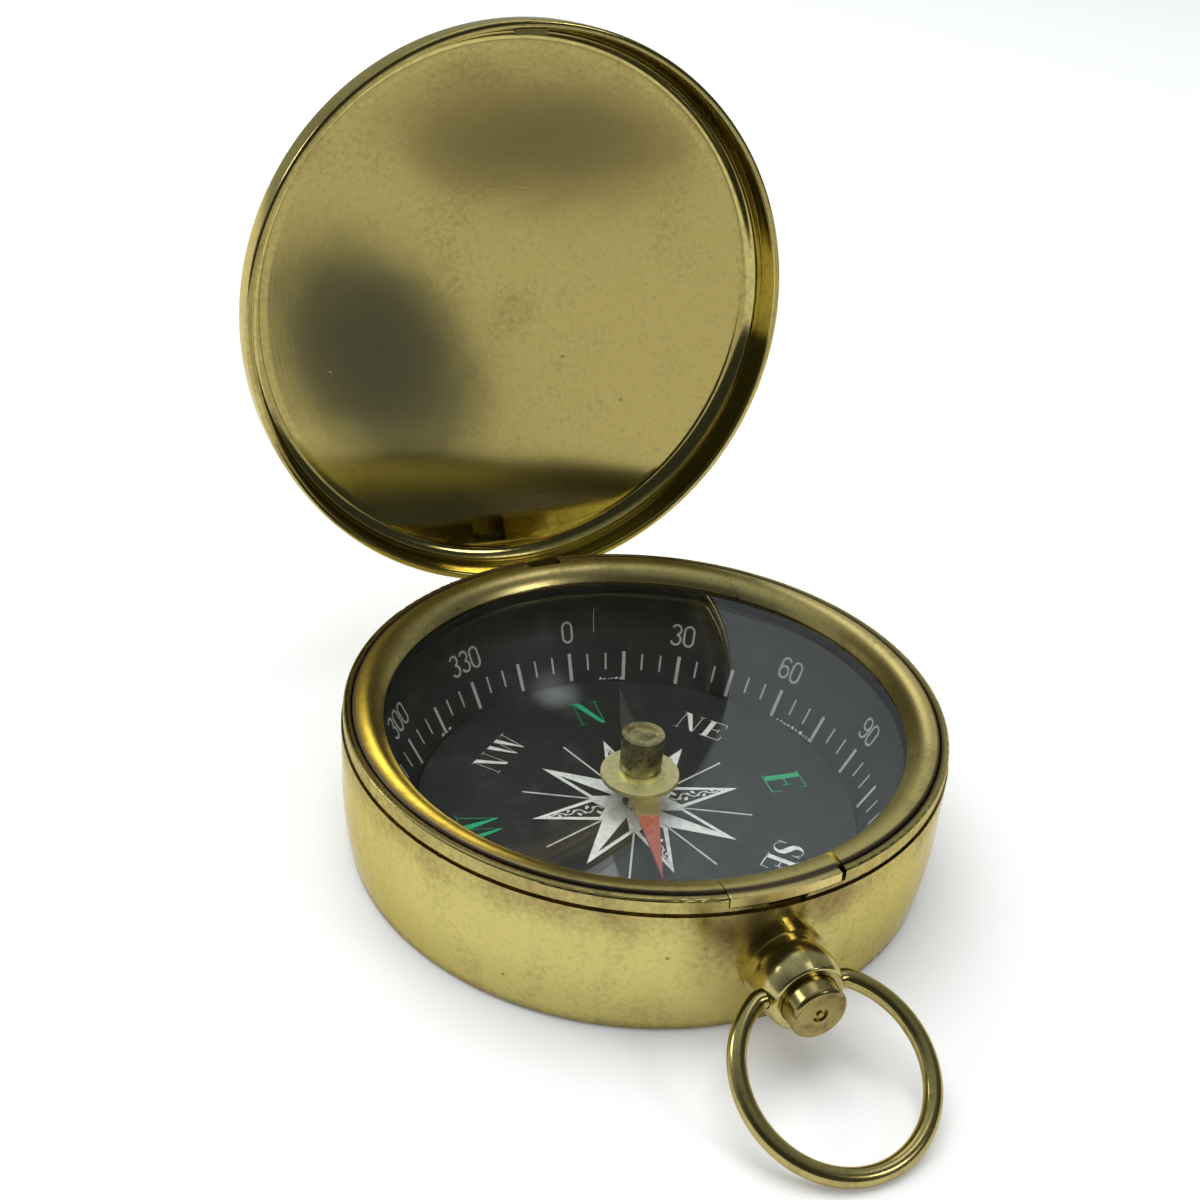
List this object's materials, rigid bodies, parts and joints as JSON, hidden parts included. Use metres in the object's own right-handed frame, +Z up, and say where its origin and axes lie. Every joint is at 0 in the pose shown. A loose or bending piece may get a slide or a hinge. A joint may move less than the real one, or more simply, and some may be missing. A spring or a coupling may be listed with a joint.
{
  "type": "pocket compass",
  "caption": "Round brass pocket compass with a hinged lid, flat glass over a sloped degree scale, pivoted needle, push-button lid catch in the pendant and a swinging bow ring.",
  "frame": {"origin": "centre of the flat base of the case", "axes": "+Z up along the axis of the case and needle, +Y towards the lid's hinge, -Y towards the pendant and bow"},
  "size_m": [0.0514, 0.0781, 0.0604],
  "materials": {
    "polished_brass": "polished",
    "worn_brass": "polished, tarnished in the hollows",
    "hub_brass": "turned",
    "clear_glass": "clear",
    "black_packing": "matte",
    "printed_card": "satin black print",
    "needle_steel": "half red, half dark",
    "hard_jewel": "polished",
    "spring_steel": "blued",
    "bright_steel": "turned"
  },
  "bodies": {
    "case": {"case_body": "polished_brass", "bezel_ring": "polished_brass", "glass": "clear_glass", "glass_gasket": "black_packing", "scale_ring": "printed_card", "dial_card": "printed_card", "pivot_boss": "bright_steel", "pivot_pin": "bright_steel", "pendant_tube": "worn_brass", "case_hinge": "worn_brass", "hinge_pin": "bright_steel", "spring_screws": "bright_steel"},
    "lid": {"lid_shell": "polished_brass", "lid_hinge": "worn_brass", "lid_catch": "polished_brass"},
    "needle": {"needle_blade": "needle_steel", "needle_hub": "hub_brass", "hub_jewel": "hard_jewel"},
    "button": {"button_cap": "worn_brass", "button_stem": "bright_steel"},
    "lock": {"lock_spring": "worn_brass"},
    "lift": {"lift_spring": "spring_steel"},
    "bow": {"bow_ring": "worn_brass"}
  },
  "joints": [
    {"name": "lid_turn", "type": "hinge", "parent": "case", "child": "lid", "pos_m": [0, 0.0255, 0.0097], "axis": [1, 0, 0], "range_deg": [0, 95.75]},
    {"name": "needle_spin", "type": "hinge", "parent": "case", "child": "needle", "pos_m": [0, 0, 0.00765], "axis": [0, 0, 1], "continuous": true},
    {"name": "button_press", "type": "slide", "parent": "case", "child": "button", "axis": [0, 1, 0], "range_m": [0, 0.0006], "stiffness_N_per_m": 4000},
    {"name": "lock_flex", "type": "hinge", "parent": "case", "child": "lock", "pos_m": [-0.01653, -0.01653, 0.0065], "axis": [0, 0, 1], "range_deg": [0, 2.2]},
    {"name": "lift_flex", "type": "hinge", "parent": "case", "child": "lift", "pos_m": [-0.01653, 0.01653, 0.0065], "axis": [0, 0, 1], "range_deg": [-1.5, 0]},
    {"name": "bow_swing", "type": "hinge", "parent": "case", "child": "bow", "pos_m": [0, -0.02818, 0.0065], "axis": [-1, 0, 0], "range_deg": [-72, 128]}
  ],
  "couplings": [
    {"joint": "lock_flex", "follows": "button_press", "rad_per_m": 60.501},
    {"joint": "lift_flex", "follows": "lid_turn", "ratio": -0.014481}
  ]
}
